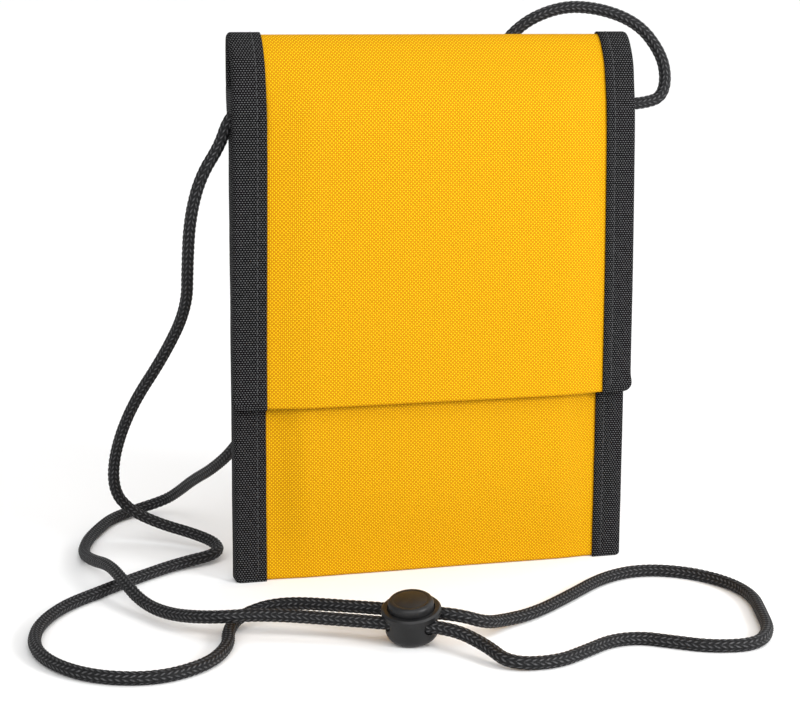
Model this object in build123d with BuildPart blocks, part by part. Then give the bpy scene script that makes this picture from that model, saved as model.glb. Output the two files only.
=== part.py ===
"""Neck pouch wallet: a flat fabric pouch with a fold-over flap, taped side seams,
a long neck cord sewn into both side seams and a spring cord lock on the cord.

Units are millimetres. The origin is on the floor under the middle of the pouch:
+X points to the wearer's left (right in the front view), -Y is the flap side, +Z is up.
"""
from build123d import *
import math
import os

os.makedirs("parts", exist_ok=True)

# ---- driving dimensions -------------------------------------------------------------
pouch_width = 144.0            # over the side tapes
pouch_height = 190.0           # floor to the top of the flap's fold
body_y = 2.4                   # middle plane of the pouch, so that the flap balances it
belly_half = 7.0               # middle plane to the outside of the filled back wall
base_half = 4.2                # half thickness at the bottom fold
neck_half = 6.6                # half thickness at the top of the back wall
belly_start = 35.0             # height where the belly is full
neck_length = 35.0             # from where it narrows again up to the top of the fold

shell_thickness = 0.9          # outer woven fabric with its coating
lining_thickness = 0.4
divider_thickness = 0.5
divider_gap = 0.9              # from the front lining to the divider in the side seams
tape_thickness = 0.7           # grosgrain binding
layer_gap = 0.3                # air between two loose layers
sewn_gap = 0.1                 # between a tape and what it is sewn round

seam_half = 2.9                # half of the stack of layers in a side seam
seam_width = 11.0              # flat seam zone beside each edge
ramp_width = 12.0              # from the seam zone out to the full belly
front_wall_drop = 22.0         # from the top of the fold down to the top of each wall
back_wall_drop = 18.0

front_pocket_depth = 5.0       # from the front lining to the divider where it is filled
card_pocket_width = 104.0
card_pocket_height = 62.0
card_pocket_bottom = 24.0
mouth_tape_drop = 9.0          # how far the mouth tape reaches down the front wall

flap_overhang = 1.5            # flap is wider than the pouch by this on each side
flap_bottom = 63.0
fold_drop = 30.0               # height of the bend between the back wall and the flap
flap_tape_width = 11.5
hem_height = 8.0               # folded edge along the bottom of the flap
fastener_width = 90.0
fastener_height = 22.0
fastener_bottom = 76.0
fastener_thickness = 1.2       # each of the two strips

cord_diameter = 4.2
cord_exit_y = 2.0
cord_exit_drop = 27.0          # from the top of the fold down to the cord's ends
tack_length = 7.0              # bar of stitches that holds a cord end in its seam
tack_width = 2.4
tack_thickness = 0.5

lock_centre = Vector(-30.4, -78.5, 8.3)    # midway between the strands inside the lock
lock_heading = -29.0           # direction of the strands through the lock, seen from above
lock_tilt = 14.0               # lean of the lock towards the front
strand_spacing = 8.2           # between the two strands' centres inside the lock
strand_bow = 0.15              # the strands spread this much in the middle of the lock
flange_lip = 1.0               # flange stands out of the barrel by this
flange_height = 2.1
barrel_wall = 0.9
barrel_floor = 1.1
bowl_radius = 3.4              # rounding at the bottom of the barrel
plunger_clearance = 0.3        # between the plunger and the barrel's bore
plunger_web = 1.0              # bar of the plunger below the strands
plunger_cheek = 0.9            # plunger beside its tunnel
button_rise = 3.3              # button above the flange at rest
button_round = 2.0
button_dome = 0.6              # how much the middle of the button stands above its edge
press_travel = 1.6
strand_clearance = 0.15        # above and below a strand at rest
tunnel_clearance = 0.3         # beside a strand
spring_radius = 3.2
spring_wire = 0.35
spring_turns = 2
spring_rest = 2.7

# ---- sizes that follow --------------------------------------------------------------
edge_x = pouch_width / 2
belly_end = pouch_height - neck_length
front_wall_height = pouch_height - front_wall_drop
back_wall_height = pouch_height - back_wall_drop
flap_top = pouch_height - fold_drop
cord_exit_z = pouch_height - cord_exit_drop
layer_edge = edge_x - tape_thickness - layer_gap
seam_x = edge_x - seam_width - 1.0
ramp_x = seam_x - ramp_width
lining_inset = shell_thickness + layer_gap
divider_front = body_y - seam_half + lining_inset + lining_thickness + divider_gap
front_half = body_y - divider_front + front_pocket_depth + lining_thickness + lining_inset
flap_edge = edge_x + flap_overhang
flap_width = 2 * flap_edge
flap_inner = front_half + 2 * fastener_thickness + layer_gap
flap_thickness = lining_thickness + shell_thickness
flap_cloth_edge = flap_edge - tape_thickness - sewn_gap
fold_middle = flap_inner + flap_thickness / 2


def half_depth(side, z):
    """Middle plane to the outside of a wall at a height; side is -1 for the front wall."""
    belly = front_half if side < 0 else belly_half
    if z < belly_start:
        return base_half + (belly - base_half) * z / belly_start
    if z <= belly_end:
        return belly
    narrowing = (z - belly_end) / (back_wall_height - belly_end)
    return belly + (neck_half - belly) * narrowing


def wall_points(side, half_width, z, inset):
    """Left half of a wall's line at a height: (x, distance from the middle plane)."""
    depth = half_depth(side, z) - inset
    seam = seam_half - inset
    if half_width > seam_x:
        return [(-half_width, seam), (-seam_x, seam), (-ramp_x, depth)]
    share = (seam_x - half_width) / ramp_width
    return [(-half_width, seam + (depth - seam) * share), (-ramp_x, depth)]


def wall_outline(side, half_width, z, inset, thickness):
    """Closed outline of a wall's section; side is -1 for the front and +1 for the back."""
    left = wall_points(side, half_width, z, inset)
    outer = left + [(-x, d) for x, d in reversed(left)]
    inner = [(x, d - thickness) for x, d in reversed(outer)]
    return [(x, body_y + side * d) for x, d in outer + inner]


def add_wall(side, half_width, bottom, top, inset, thickness):
    """Loft one curved wall of even thickness into the part being built."""
    knots = [z for z in (belly_start, belly_end) if bottom < z < top]
    sections = []
    for z in [bottom, *knots, top]:
        with BuildSketch(Plane.XY.offset(z)) as section:
            with BuildLine():
                Polyline(*wall_outline(side, half_width, z, inset, thickness), close=True)
            make_face()
        sections.append(section.sketch.face())
    loft(sections, ruled=True)


def add_base(bottom, inset, thickness):
    """Add the bottom fold that joins the front wall to the back wall."""
    front = wall_points(-1, layer_edge, 0, inset)
    back = wall_points(1, layer_edge, 0, inset + thickness)
    near = front + [(-x, d) for x, d in reversed(front)]
    far = back + [(-x, d) for x, d in reversed(back)]
    outline = [(x, body_y - d) for x, d in near] + [(x, body_y + d) for x, d in reversed(far)]
    with BuildSketch(Plane.XY.offset(bottom)) as foot:
        with BuildLine():
            Polyline(*outline, close=True)
        make_face()
    extrude(foot.sketch, amount=thickness)


def add_block(x_range, y_range, z_range, mode=Mode.ADD):
    """Add or cut a block given by its lowest and highest x, y and z."""
    with BuildSketch(Plane.XY.offset(z_range[0])) as foot:
        with Locations(((x_range[0] + x_range[1]) / 2, (y_range[0] + y_range[1]) / 2)):
            Rectangle(x_range[1] - x_range[0], y_range[1] - y_range[0])
    extrude(foot.sketch, amount=z_range[1] - z_range[0], mode=mode)


def save(piece, name):
    """Label a finished piece and write it to its own file."""
    piece.part.label = name
    export_step(piece.part, f"parts/{name}.step")


# ---- pouch body ---------------------------------------------------------------------
def make_front_panel():
    """Outer fabric of the front, with the bottom fold."""
    with BuildPart() as front_panel:
        add_wall(-1, layer_edge, 0, front_wall_height, 0, shell_thickness)
        add_base(0, 0, shell_thickness)
    save(front_panel, "front_panel")


def make_back_panel():
    """Outer fabric of the back, up to where it turns over into the flap."""
    with BuildPart() as back_panel:
        add_wall(1, layer_edge, 0, back_wall_height, 0, shell_thickness)
    save(back_panel, "back_panel")


def make_linings():
    """Thin lining inside both outer walls."""
    floor = shell_thickness + layer_gap
    with BuildPart() as front_lining:
        add_wall(-1, layer_edge, floor, front_wall_height, lining_inset, lining_thickness)
        add_base(floor, lining_inset, lining_thickness)
    save(front_lining, "front_lining")
    with BuildPart() as back_lining:
        add_wall(1, layer_edge, floor, back_wall_height, lining_inset, lining_thickness)
    save(back_lining, "back_lining")


def make_divider():
    """Sheet between the front pocket and the main pocket."""
    floor = shell_thickness + lining_thickness + 2 * layer_gap
    top = front_wall_height - mouth_tape_drop - layer_gap
    with BuildPart() as pocket_divider:
        add_block((-layer_edge, layer_edge), (divider_front, divider_front + divider_thickness),
                  (floor, top))
    save(pocket_divider, "pocket_divider")


def make_card_pocket():
    """Patch pocket for cards on the divider, open at its top."""
    front_face = divider_front + divider_thickness + layer_gap
    half = card_pocket_width / 2
    top = card_pocket_bottom + card_pocket_height
    with BuildPart() as card_pocket:
        add_block((-half, half), (front_face, front_face + lining_thickness),
                  (card_pocket_bottom, top))
    save(card_pocket, "card_pocket")


def make_body_bindings():
    """Tape folded round each side seam of the pouch."""
    slot = seam_half + sewn_gap
    outside = slot + tape_thickness
    for side, name in ((-1, "left"), (1, "right")):
        outer_x = sorted((side * edge_x, side * (edge_x - seam_width)))
        slot_x = sorted((side * (edge_x - tape_thickness), side * (edge_x - seam_width)))
        with BuildPart() as binding:
            add_block(outer_x, (body_y - outside, body_y + outside), (0, back_wall_height))
            add_block(slot_x, (body_y - slot, body_y + slot), (0, back_wall_height), Mode.SUBTRACT)
        save(binding, f"body_binding_{name}")


def make_mouth_binding():
    """Tape folded over the top edge of the front wall."""
    reach = seam_x - 1.0
    bottom = front_wall_height - mouth_tape_drop
    cap = front_wall_height + sewn_gap
    top = cap + tape_thickness
    front_leg = -(sewn_gap + tape_thickness)
    back_leg = lining_inset + lining_thickness + sewn_gap
    with BuildPart() as mouth_binding:
        add_wall(-1, reach, bottom, top, front_leg, tape_thickness)
        add_wall(-1, reach, bottom, top, back_leg, tape_thickness)
        add_wall(-1, reach, cap, top, front_leg, back_leg + tape_thickness - front_leg)
    save(mouth_binding, "mouth_binding")


def make_loop_strip():
    """Soft half of the touch fastener, on the front wall under the flap."""
    half = fastener_width / 2
    back_face = body_y - front_half
    with BuildPart() as loop_strip:
        add_block((-half, half), (back_face - fastener_thickness, back_face),
                  (fastener_bottom, fastener_bottom + fastener_height))
    save(loop_strip, "loop_strip")


def make_cord_tacks():
    """Bar of stitches across the back of each side seam, over the sewn-in cord end."""
    face = body_y + seam_half + sewn_gap + tape_thickness
    low = cord_exit_z - tack_width / 2
    for side, name in ((-1, "left"), (1, "right")):
        outer = side * (edge_x - 1.0)
        with BuildPart() as tack:
            add_block(sorted((outer, outer - side * tack_length)), (face, face + tack_thickness),
                      (low, low + tack_width))
        save(tack, f"cord_tack_{name}")


# ---- flap ---------------------------------------------------------------------------
def fold_path():
    """Middle line of the cloth that bends over the top, from the back wall to the flap."""
    back = neck_half - flap_thickness / 2
    crown = pouch_height - flap_thickness / 2
    points = [(back, back_wall_height), (back, crown - 1.9), (back - 2.4, crown + 0.9),
              (back - 6.5, crown - 2.9), (-7.4, back_wall_height), (-fold_middle, flap_top + 4),
              (-fold_middle, flap_top)]
    return [(0, body_y + y, z) for y, z in points]


def add_fold_band(x_range, thickness, mode=Mode.ADD):
    """Sweep a band of cloth over the top of the pouch."""
    with BuildLine() as line:
        FilletPolyline(*fold_path(), radius=[3.0, 2.0, 10.0, 40.0, 8.0])
    path = line.wires()[0]
    start = Plane(origin=path @ 0, x_dir=(1, 0, 0), z_dir=path % 0)
    with BuildSketch(start) as band:
        with Locations(((x_range[0] + x_range[1]) / 2, 0)):
            Rectangle(x_range[1] - x_range[0], thickness)
    sweep(band.sketch, path=path, mode=mode)


def make_flap_fold():
    """Cloth between the back wall and the hanging flap; it bends as the flap opens."""
    inner = flap_edge - flap_tape_width
    with BuildPart() as flap_fold:
        add_fold_band((-inner, inner), flap_thickness)
    save(flap_fold, "flap_fold")


def make_fold_bindings():
    """Side tapes along the bend, round the edge of the cloth."""
    thickness = flap_thickness + 2 * (sewn_gap + tape_thickness)
    for side, name in ((-1, "left"), (1, "right")):
        x_range = sorted((side * flap_edge, side * (flap_edge - flap_tape_width)))
        with BuildPart() as binding:
            add_fold_band(x_range, thickness)
        save(binding, f"fold_binding_{name}")


def make_flap_panel():
    """Outer fabric of the flap, with its bottom edge folded under."""
    front_face = body_y - flap_inner - flap_thickness
    with BuildPart() as flap_panel:
        add_block((-flap_cloth_edge, flap_cloth_edge), (front_face, front_face + shell_thickness),
                  (flap_bottom, flap_top))
        add_block((-flap_cloth_edge, flap_cloth_edge), (front_face, front_face + flap_thickness),
                  (flap_bottom, flap_bottom + hem_height))
        bottom_edges = flap_panel.edges().filter_by(Axis.X).group_by(Axis.Z)[0]
        fillet(bottom_edges, radius=shell_thickness / 2)
    save(flap_panel, "flap_panel")


def make_flap_lining():
    """Lining on the inside of the flap, above the folded edge."""
    back_face = body_y - flap_inner
    with BuildPart() as flap_lining:
        add_block((-flap_cloth_edge, flap_cloth_edge), (back_face - lining_thickness, back_face),
                  (flap_bottom + hem_height + sewn_gap, flap_top))
    save(flap_lining, "flap_lining")


def make_flap_bindings():
    """Tape folded round each side edge of the flap."""
    middle = body_y - fold_middle
    slot = flap_thickness / 2 + sewn_gap
    outside = slot + tape_thickness
    for side, name in ((-1, "left"), (1, "right")):
        outer_x = sorted((side * flap_edge, side * (flap_edge - flap_tape_width)))
        slot_x = sorted((side * (flap_edge - tape_thickness), side * (flap_edge - flap_tape_width)))
        with BuildPart() as binding:
            add_block(outer_x, (middle - outside, middle + outside), (flap_bottom, flap_top))
            add_block(slot_x, (middle - slot, middle + slot), (flap_bottom, flap_top), Mode.SUBTRACT)
        save(binding, f"flap_binding_{name}")


def make_hook_strip():
    """Hook half of the touch fastener, inside the flap."""
    half = fastener_width / 2
    front_face = body_y - flap_inner
    with BuildPart() as hook_strip:
        add_block((-half, half), (front_face, front_face + fastener_thickness),
                  (fastener_bottom, fastener_bottom + fastener_height))
    save(hook_strip, "hook_strip")


# ---- cord lock ----------------------------------------------------------------------
strand_direction = Vector(1, 0, 0).rotate(Axis.Z, lock_heading)
lock_axis = Vector(0, 0, 1).rotate(Axis((0, 0, 0), strand_direction), lock_tilt)
across = lock_axis.cross(strand_direction)

plunger_bottom = barrel_floor + spring_rest
plunger_tunnel_bottom = plunger_bottom + plunger_web
strand_height = plunger_tunnel_bottom + strand_clearance + cord_diameter / 2
barrel_tunnel_top = strand_height + cord_diameter / 2 + strand_clearance
barrel_tunnel_bottom = barrel_tunnel_top - cord_diameter - 0.8
plunger_tunnel_top = barrel_tunnel_top + press_travel
barrel_top = plunger_tunnel_top + 0.3
tunnel_width = strand_spacing + cord_diameter + 2 * tunnel_clearance
plunger_radius = tunnel_width / 2 + plunger_cheek
bore_radius = plunger_radius + plunger_clearance
barrel_radius = bore_radius + barrel_wall
flange_radius = barrel_radius + flange_lip

lock_origin = lock_centre - lock_axis * strand_height
lock_plane = Plane(origin=lock_origin, x_dir=strand_direction, z_dir=lock_axis)
lock_side_plane = Plane(origin=lock_origin, x_dir=strand_direction, z_dir=across * -1)
lock_line = Axis(lock_origin, lock_axis)


def cut_tunnel(bottom, top, corner):
    """Cut the wide rounded tunnel that both strands pass through."""
    middle = lock_origin + lock_axis * ((bottom + top) / 2)
    with BuildSketch(Plane(origin=middle, x_dir=across, z_dir=strand_direction)) as tunnel:
        RectangleRounded(tunnel_width, top - bottom, corner)
    extrude(tunnel.sketch, amount=flange_radius + 2, both=True, mode=Mode.SUBTRACT)


def make_lock_barrel():
    """Outer housing of the cord lock: a round cup with a flange at its mouth."""
    flange_bottom = barrel_top - flange_height
    seat = plunger_bottom - press_travel - 0.4
    foot = barrel_radius - bowl_radius
    with BuildPart() as lock_barrel:
        with BuildSketch(lock_side_plane):
            with BuildLine():
                Line((0, 0), (foot, 0))
                TangentArc((foot, 0), (barrel_radius, bowl_radius), tangent=(1, 0))
                Polyline((barrel_radius, bowl_radius), (barrel_radius, flange_bottom - 0.6),
                         (flange_radius, flange_bottom), (flange_radius, barrel_top - 0.6),
                         (flange_radius - 0.6, barrel_top), (bore_radius, barrel_top),
                         (bore_radius, seat), (spring_radius + 0.8, seat),
                         (spring_radius + 0.8, barrel_floor), (0, barrel_floor), (0, 0))
            make_face()
        revolve(axis=lock_line)
        cut_tunnel(barrel_tunnel_bottom, barrel_tunnel_top, 2.2)
    save(lock_barrel, "lock_barrel")


def make_lock_plunger():
    """Push button with the stem that pinches the strands."""
    top = barrel_top + button_rise
    with BuildPart() as lock_plunger:
        with BuildSketch(lock_side_plane):
            with BuildLine():
                Line((0, plunger_bottom), (plunger_radius, plunger_bottom))
                Line((plunger_radius, plunger_bottom), (plunger_radius, top - button_round))
                TangentArc((plunger_radius, top - button_round),
                           (plunger_radius - button_round, top - button_dome), tangent=(0, 1))
                TangentArc((0, top), (plunger_radius - button_round, top - button_dome),
                           tangent=(1, 0))
                Line((0, top), (0, plunger_bottom))
            make_face()
        revolve(axis=lock_line)
        cut_tunnel(plunger_tunnel_bottom, plunger_tunnel_top, 1.2)
    save(lock_plunger, "lock_plunger")


def make_lock_spring():
    """Small coil spring under the plunger."""
    low = barrel_floor + spring_wire / 2 + 0.05
    rise = spring_rest - spring_wire - 0.1
    with BuildPart() as lock_spring:
        with BuildLine():
            coil = Helix(pitch=rise / spring_turns, height=rise, radius=spring_radius - spring_wire / 2,
                         center=tuple(lock_origin + lock_axis * low), direction=tuple(lock_axis))
        with BuildSketch(Plane(origin=coil @ 0, z_dir=coil % 0)):
            Circle(spring_wire / 2)
        sweep()
    save(lock_spring, "lock_spring")


# ---- neck cord ----------------------------------------------------------------------
def strand_point(side, along, bow=0.0):
    """Point on a strand near the lock; side is +1 for the strand nearer the pouch."""
    offset = across * (side * (strand_spacing / 2 + bow))
    return tuple(lock_centre + strand_direction * along + offset)


cord_route = [
    # out of the left seam and down behind the left side
    (-edge_x, cord_exit_y, cord_exit_z), (-edge_x - 5, 2.5, cord_exit_z - 10),
    (-edge_x - 9.5, 4, cord_exit_z - 22), (-85, 8, cord_exit_z - 36),
    (-86, 14, 111), (-86, 22, 95), (-91, 33, 76), (-100, 44, 55), (-106, 52, 37),
    (-105.5, 58, 22), (-98, 60.5, 13), (-87, 57, 8), (-76.5, 46.5, 5.5),
    # sharp turn beside the pouch, then the big loop at the left
    (-72.5, 36, 4.3), (-75, 25, 3.4), (-86.5, 17.5, 2.4), (-103, 9, 2.1), (-120, -4, 2.1),
    (-137, -20, 2.1), (-147.5, -43, 2.1), (-149, -68, 2.1), (-137, -89, 2.1),
    (-117, -97, 2.1), (-99, -88.5, 2.1), (-88, -73, 2.1), (-85.3, -59, 2.1),
    # up to the lock and through it
    (-78, -50.5, 3.8), (-67, -49, 7.6), strand_point(1, -22), strand_point(1, -3, strand_bow),
    strand_point(1, 14.5), (-6.5, -81, 5.6),
    # loop in front of the pouch at the right
    (2.5, -73, 3), (14, -64, 2.1), (32, -49, 2.1), (51, -31, 2.1), (69, -25, 2.1),
    (85, -32, 2.1), (95, -48, 2.1), (97, -66, 2.1), (92.5, -86, 2.1), (86, -102, 2.1),
    (74.5, -111.5, 2.1), (61, -108, 2.1), (52, -98.5, 2.1), (42, -93.5, 2.1),
    (31, -96.5, 2.1), (20, -105, 2.1), (8.5, -111.5, 2.1), (-3.5, -108.5, 2.6),
    (-12, -99.5, 4.4),
    # back through the lock and over both crossings
    strand_point(-1, 14), strand_point(-1, -3, strand_bow), strand_point(-1, -22),
    (-75, -61.5, 8.0), (-88, -52, 7.6), (-99, -37.5, 3.8), (-107.5, -25, 4),
    (-112.5, -9, 7.4), (-115, 9, 7.4), (-119, 26, 4.2), (-121, 43, 2.1), (-117.5, 60, 2.1),
    (-111, 76, 2.1), (-103.5, 90, 2.1), (-92, 99, 2.8), (-80, 97, 6), (-74.5, 85, 11.5),
    # up behind the pouch, over its right corner and into the right seam
    (-73, 67, 19.5), (-71.5, 45, 29.5), (-68.5, 24, 42), (-60, 16, 58), (-42, 14.5, 83),
    (-20, 14.5, 114), (3, 14, 148), (21, 15, cord_exit_z + 10), (34.5, 15.5, cord_exit_z + 27.5),
    (50, 15.5, cord_exit_z + 36), (65, 15, cord_exit_z + 36),
    (edge_x + 5.5, 13, cord_exit_z + 29), (edge_x + 13.5, 9.5, cord_exit_z + 18),
    (edge_x + 15, 5.5, cord_exit_z + 7), (edge_x + 8.5, 3, cord_exit_z + 0.8),
    (edge_x, cord_exit_y, cord_exit_z),
]


def cord_radii(points):
    """Bend radius at each inner point: 0.45 of the shorter run over tan(half the turn)."""
    radii = []
    for before, here, after in zip(points, points[1:], points[2:]):
        run_in = Vector(*here) - Vector(*before)
        run_out = Vector(*after) - Vector(*here)
        half_turn = math.radians(run_in.get_angle(run_out)) / 2
        radii.append(0.45 * min(run_in.length, run_out.length) / math.tan(half_turn))
    return radii


def make_neck_cord():
    """Round braided cord as a plain tube along its route, trimmed flush with the seams."""
    radii = cord_radii(cord_route)
    print("cord radii:", [round(radius, 1) for radius in radii])
    with BuildPart() as neck_cord:
        with BuildLine():
            line = FilletPolyline(*cord_route, radius=radii)
        with BuildSketch(Plane(origin=line @ 0, z_dir=line % 0)):
            Circle(cord_diameter / 2)
        sweep()
        for side in (-1, 1):
            inside = sorted((side * edge_x, side * (edge_x - cord_diameter)))
            add_block(inside, (cord_exit_y - cord_diameter, cord_exit_y + cord_diameter),
                      (cord_exit_z - 2 * cord_diameter, cord_exit_z + 2 * cord_diameter),
                      Mode.SUBTRACT)
    length = line.length
    section = math.pi * cord_diameter ** 2 / 4
    print(f"cord length {length:.1f}, volume over section x length "
          f"{neck_cord.part.volume / (section * length):.4f}")
    save(neck_cord, "neck_cord")


make_front_panel()
make_back_panel()
make_linings()
make_divider()
make_card_pocket()
make_body_bindings()
make_mouth_binding()
make_loop_strip()
make_cord_tacks()
make_flap_fold()
make_fold_bindings()
make_flap_panel()
make_flap_lining()
make_flap_bindings()
make_hook_strip()
make_lock_barrel()
make_lock_plunger()
make_lock_spring()
make_neck_cord()
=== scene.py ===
"""Looks of the neck pouch wallet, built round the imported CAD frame.

Everything is in metres in the frame's own axes: -Y is the flap side and +Z is up.
"""
import math

import bmesh
import bpy
import numpy as np
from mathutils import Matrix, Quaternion, Vector, noise


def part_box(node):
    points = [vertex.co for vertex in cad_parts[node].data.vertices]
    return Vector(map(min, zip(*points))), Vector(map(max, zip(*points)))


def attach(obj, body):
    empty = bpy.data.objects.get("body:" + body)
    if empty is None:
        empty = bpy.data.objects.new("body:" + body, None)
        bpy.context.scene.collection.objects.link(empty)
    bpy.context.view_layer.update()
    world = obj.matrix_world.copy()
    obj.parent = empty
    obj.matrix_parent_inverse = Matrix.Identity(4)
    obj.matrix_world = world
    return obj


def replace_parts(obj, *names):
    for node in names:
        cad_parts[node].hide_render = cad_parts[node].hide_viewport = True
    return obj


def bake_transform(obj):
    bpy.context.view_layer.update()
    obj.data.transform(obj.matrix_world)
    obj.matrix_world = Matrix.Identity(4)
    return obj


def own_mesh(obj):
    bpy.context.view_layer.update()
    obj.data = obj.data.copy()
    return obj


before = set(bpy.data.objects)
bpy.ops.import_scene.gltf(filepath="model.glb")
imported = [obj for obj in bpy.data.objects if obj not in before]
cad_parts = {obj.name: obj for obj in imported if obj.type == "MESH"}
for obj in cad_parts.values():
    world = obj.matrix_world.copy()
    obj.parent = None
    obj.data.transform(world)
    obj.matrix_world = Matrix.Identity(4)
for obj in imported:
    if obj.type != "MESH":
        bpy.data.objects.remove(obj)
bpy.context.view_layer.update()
MM = 0.001

# ---- sizes read from the frame ------------------------------------------------------
edge_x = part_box("body_binding_right")[1].x
body_tape_width = edge_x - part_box("body_binding_right")[0].x
seam_low, seam_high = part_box("body_binding_right")[0].y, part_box("body_binding_right")[1].y
middle_y = (seam_low + seam_high) / 2
tape_t = 0.7 * MM
tape_gap = 0.1 * MM
seam_half = (seam_high - seam_low) / 2 - tape_t - tape_gap
front_half = middle_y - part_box("front_panel")[0].y
back_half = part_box("back_panel")[1].y - middle_y
base_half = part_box("front_panel")[1].y - middle_y
front_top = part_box("front_panel")[1].z
back_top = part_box("back_panel")[1].z
flap_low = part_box("flap_panel")[0].z
flap_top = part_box("flap_panel")[1].z
flap_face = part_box("flap_panel")[0].y
flap_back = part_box("flap_lining")[1].y
crown_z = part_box("flap_fold")[1].z
fold_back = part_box("flap_fold")[1].y
flap_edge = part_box("flap_binding_right")[1].x
flap_tape_width = flap_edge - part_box("flap_binding_right")[0].x
flap_t = flap_back - flap_face

# ---- sizes of this model's own ------------------------------------------------------
shell_t = 0.9 * MM
lining_t = 0.4 * MM
cord_d = 4.2 * MM
sheet_ease = 0.3 * MM          # between a sheet and the tape or sheet beside it
seam_pitch = 2.6 * MM          # one stitch of a seam
seam_share = 0.72              # where a seam runs, as a share of the tape's width
wall_half = edge_x - tape_t - sheet_ease
crown_drop = 1.2 * MM          # the drawn fold sinks this far below the frame's


def link(piece):
    """Put an object in the scene."""
    bpy.context.scene.collection.objects.link(piece)
    return piece


# ---- camera -------------------------------------------------------------------------
def make_camera():
    """Camera at the height and angle of a product shot, on a long lens."""
    lens_px, image_width = 2021.3, 800
    yaw, pitch, roll = 0.2758, 0.18858, 0.00559
    data = bpy.data.cameras.new("camera")
    data.sensor_width = 36.0
    data.lens = lens_px * data.sensor_width / image_width
    data.clip_start, data.clip_end = 0.05, 20
    camera = link(bpy.data.objects.new("camera", data))
    camera.location = (-0.20252, -0.6714, 0.20847)
    look = Vector((math.sin(yaw) * math.cos(pitch), math.cos(yaw) * math.cos(pitch),
                   -math.sin(pitch)))
    camera.rotation_mode = "QUATERNION"
    turn = look.to_track_quat("-Z", "Y")
    camera.rotation_quaternion = turn @ Quaternion((0, 0, 1), roll)
    bpy.context.scene.camera = camera


# ---- materials ----------------------------------------------------------------------
class Nodes:
    """Short way to write a material's node tree."""

    def __init__(self, name, roughness, sheen=0.0, metallic=0.0, specular=0.5):
        self.material = bpy.data.materials.new(name)
        self.material.use_nodes = True
        self.tree = self.material.node_tree
        self.shader = self.tree.nodes["Principled BSDF"]
        self.shader.inputs["Roughness"].default_value = roughness
        self.shader.inputs["Metallic"].default_value = metallic
        self.shader.inputs["Specular IOR Level"].default_value = specular
        self.shader.inputs["Sheen Weight"].default_value = sheen
        self.shader.inputs["Sheen Roughness"].default_value = 0.4

    def plug(self, value, socket):
        """Link a socket, or set a number or colour on it."""
        if isinstance(value, bpy.types.NodeSocket):
            self.tree.links.new(value, socket)
        else:
            socket.default_value = value

    def math(self, kind, a, b=0.0, c=0.0):
        """One math node; its operands are numbers or sockets."""
        node = self.tree.nodes.new("ShaderNodeMath")
        node.operation = kind
        for value, socket in zip((a, b, c), node.inputs):
            self.plug(value, socket)
        return node.outputs[0]

    def uv(self):
        """The UVs in millimetres: u, v and the pair."""
        node = self.tree.nodes.new("ShaderNodeUVMap")
        split = self.tree.nodes.new("ShaderNodeSeparateXYZ")
        self.tree.links.new(node.outputs[0], split.inputs[0])
        return split.outputs[0], split.outputs[1], node.outputs[0]

    def place(self):
        """Position on the object, in metres."""
        return self.tree.nodes.new("ShaderNodeTexCoord").outputs["Object"]

    def noise(self, vector, scale, detail=3.0, rough=0.55):
        node = self.tree.nodes.new("ShaderNodeTexNoise")
        self.plug(vector, node.inputs["Vector"])
        node.inputs["Scale"].default_value = scale
        node.inputs["Detail"].default_value = detail
        node.inputs["Roughness"].default_value = rough
        return node.outputs["Fac"]

    def ramp(self, value, stops):
        """Colour ramp through (place, colour) stops."""
        node = self.tree.nodes.new("ShaderNodeValToRGB")
        self.plug(value, node.inputs[0])
        ramp = node.color_ramp
        while len(ramp.elements) < len(stops):
            ramp.elements.new(0.5)
        for element, (place, colour) in zip(ramp.elements, stops):
            element.position = place
            element.color = (*colour, 1.0)
        return node.outputs[0]

    def mix(self, share, a, b):
        node = self.tree.nodes.new("ShaderNodeMix")
        node.data_type = "RGBA"
        self.plug(share, node.inputs[0])
        for value, socket in ((a, node.inputs[6]), (b, node.inputs[7])):
            if isinstance(value, tuple):
                value = (*value, 1.0)
            self.plug(value, socket)
        return node.outputs[2]

    def bump(self, height, distance, strength):
        node = self.tree.nodes.new("ShaderNodeBump")
        node.inputs["Strength"].default_value = strength
        node.inputs["Distance"].default_value = distance
        self.plug(height, node.inputs["Height"])
        return node.outputs[0]

    def finish(self, colour, normal, roughness=None):
        """Plug the shader's colour, normal and, where it varies, roughness."""
        self.plug(colour, self.shader.inputs["Base Color"])
        self.tree.links.new(normal, self.shader.inputs["Normal"])
        if roughness is not None:
            self.tree.links.new(roughness, self.shader.inputs["Roughness"])
        return self.material


def hump(n, value):
    """0 at whole numbers and 1 half way between them, rounded."""
    return n.math("ABSOLUTE", n.math("SINE", n.math("MULTIPLY", value, math.pi)))


def weave(n, pitch):
    """Height of a plain weave of flat yarns, from UVs in millimetres."""
    u, v, _ = n.uv()
    across = n.math("DIVIDE", u, pitch)
    along = n.math("DIVIDE", v, pitch)
    square = n.math("ADD", n.math("FLOOR", across), n.math("FLOOR", along))
    over = n.math("ABSOLUTE", n.math("MODULO", square, 2.0))
    a, b = hump(n, across), hump(n, along)
    warp = n.math("MULTIPLY", n.math("POWER", a, 0.55), n.math("MULTIPLY_ADD", b, 0.75, 0.25))
    weft = n.math("MULTIPLY", n.math("POWER", b, 0.55), n.math("MULTIPLY_ADD", a, 0.30, 0.08))
    under = n.math("SUBTRACT", 1.0, over)
    return n.math("ADD", n.math("MULTIPLY", warp, over), n.math("MULTIPLY", weft, under))


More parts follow.
